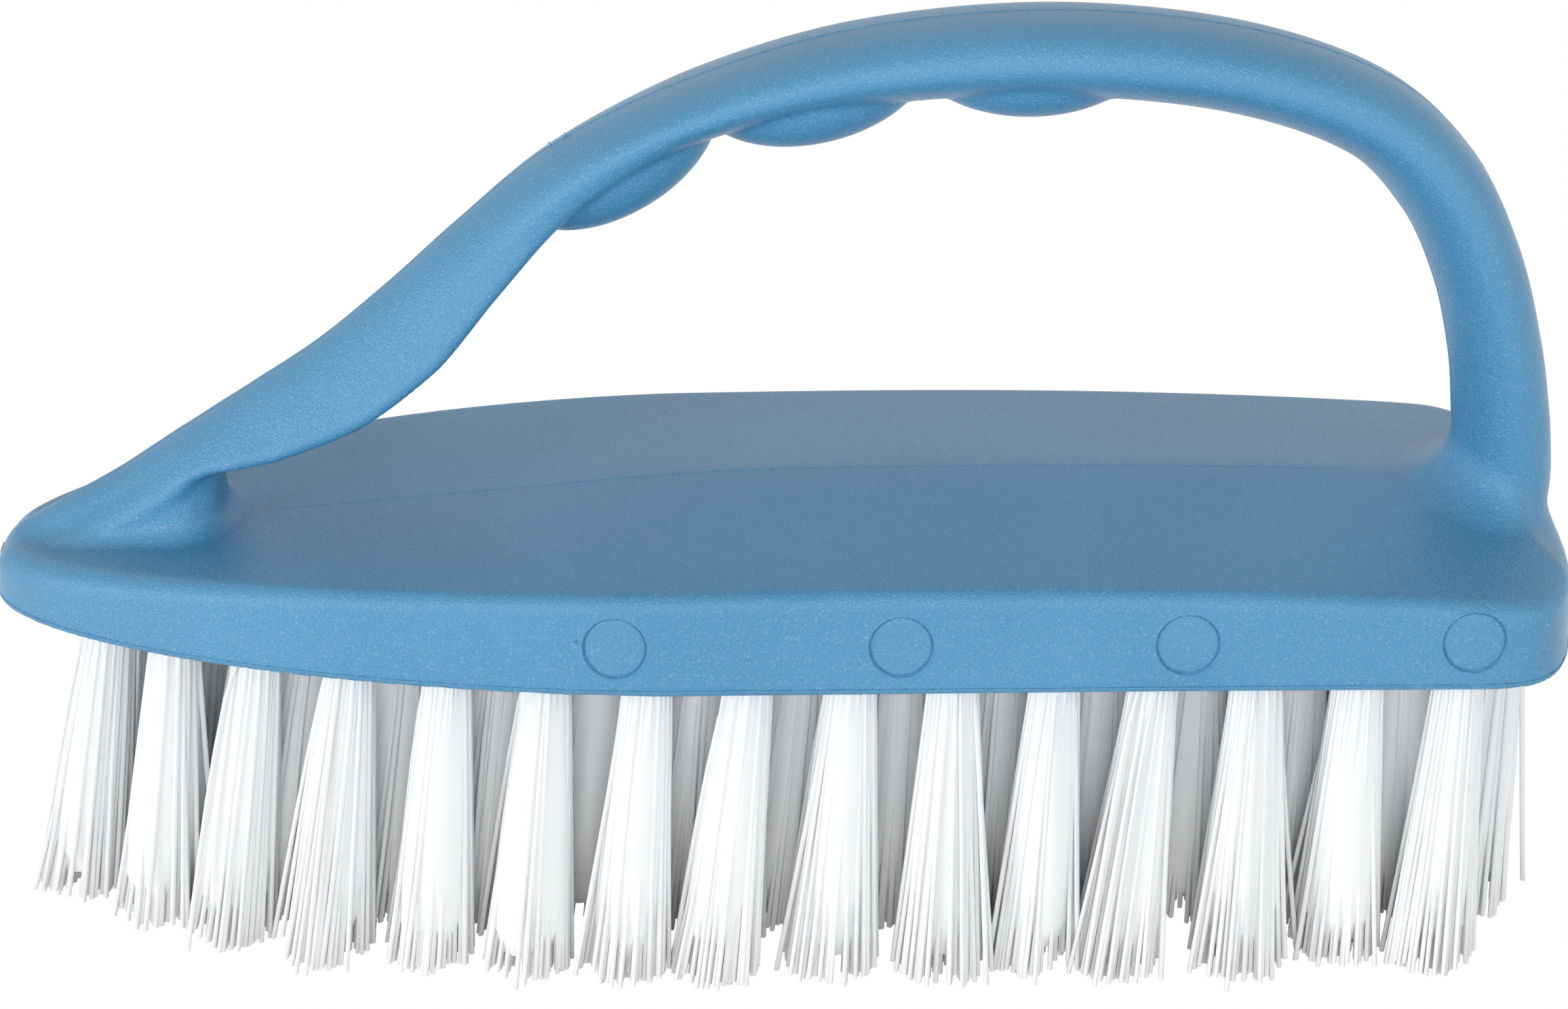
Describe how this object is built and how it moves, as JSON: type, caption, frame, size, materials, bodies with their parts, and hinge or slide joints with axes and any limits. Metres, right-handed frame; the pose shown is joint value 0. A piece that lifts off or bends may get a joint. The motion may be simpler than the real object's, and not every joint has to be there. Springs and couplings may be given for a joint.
{
  "type": "hand scrubbing brush",
  "caption": "Iron-shaped hand scrubbing brush: a plastic block with a loop handle and finger lobes, and tufts of stiff pale filament leaning to the nose.",
  "frame": {"origin": "on the flat plane of the filament tips, under the middle of the block's length and width", "axes": "+X from the nose to the tail, +Y across the block, +Z from the filament tips up to the handle"},
  "size_m": [0.1552, 0.0508, 0.0912],
  "materials": {
    "blue_moulding": "satin, faintly grained, with a soft sheen on the handle",
    "white_filament": "smooth, slightly translucent filament"
  },
  "bodies": {
    "root": {"brush_body": "blue_moulding", "tuft_near_outer_01": "white_filament", "tuft_near_outer_02": "white_filament", "tuft_near_outer_03": "white_filament", "tuft_near_outer_04": "white_filament", "tuft_near_outer_05": "white_filament", "tuft_near_outer_06": "white_filament", "tuft_near_outer_07": "white_filament", "tuft_near_outer_08": "white_filament", "tuft_near_outer_09": "white_filament", "tuft_near_outer_10": "white_filament", "tuft_near_outer_11": "white_filament", "tuft_near_outer_12": "white_filament", "tuft_near_outer_13": "white_filament", "tuft_near_outer_14": "white_filament", "tuft_near_outer_15": "white_filament", "tuft_far_outer_01": "white_filament", "tuft_far_outer_02": "white_filament", "tuft_far_outer_03": "white_filament", "tuft_far_outer_04": "white_filament", "tuft_far_outer_05": "white_filament", "tuft_far_outer_06": "white_filament", "tuft_far_outer_07": "white_filament", "tuft_far_outer_08": "white_filament", "tuft_far_outer_09": "white_filament", "tuft_far_outer_10": "white_filament", "tuft_far_outer_11": "white_filament", "tuft_far_outer_12": "white_filament", "tuft_far_outer_13": "white_filament", "tuft_far_outer_14": "white_filament", "tuft_far_outer_15": "white_filament", "tuft_near_inner_01": "white_filament", "tuft_near_inner_02": "white_filament", "tuft_near_inner_03": "white_filament", "tuft_near_inner_04": "white_filament", "tuft_near_inner_05": "white_filament", "tuft_near_inner_06": "white_filament", "tuft_near_inner_07": "white_filament", "tuft_near_inner_08": "white_filament", "tuft_near_inner_09": "white_filament", "tuft_near_inner_10": "white_filament", "tuft_near_inner_11": "white_filament", "tuft_near_inner_12": "white_filament", "tuft_near_inner_13": "white_filament", "tuft_far_inner_01": "white_filament", "tuft_far_inner_02": "white_filament", "tuft_far_inner_03": "white_filament", "tuft_far_inner_04": "white_filament", "tuft_far_inner_05": "white_filament", "tuft_far_inner_06": "white_filament", "tuft_far_inner_07": "white_filament", "tuft_far_inner_08": "white_filament", "tuft_far_inner_09": "white_filament", "tuft_far_inner_10": "white_filament", "tuft_far_inner_11": "white_filament", "tuft_far_inner_12": "white_filament", "tuft_far_inner_13": "white_filament", "tuft_row_centre": "white_filament"}
  },
  "joints": []
}
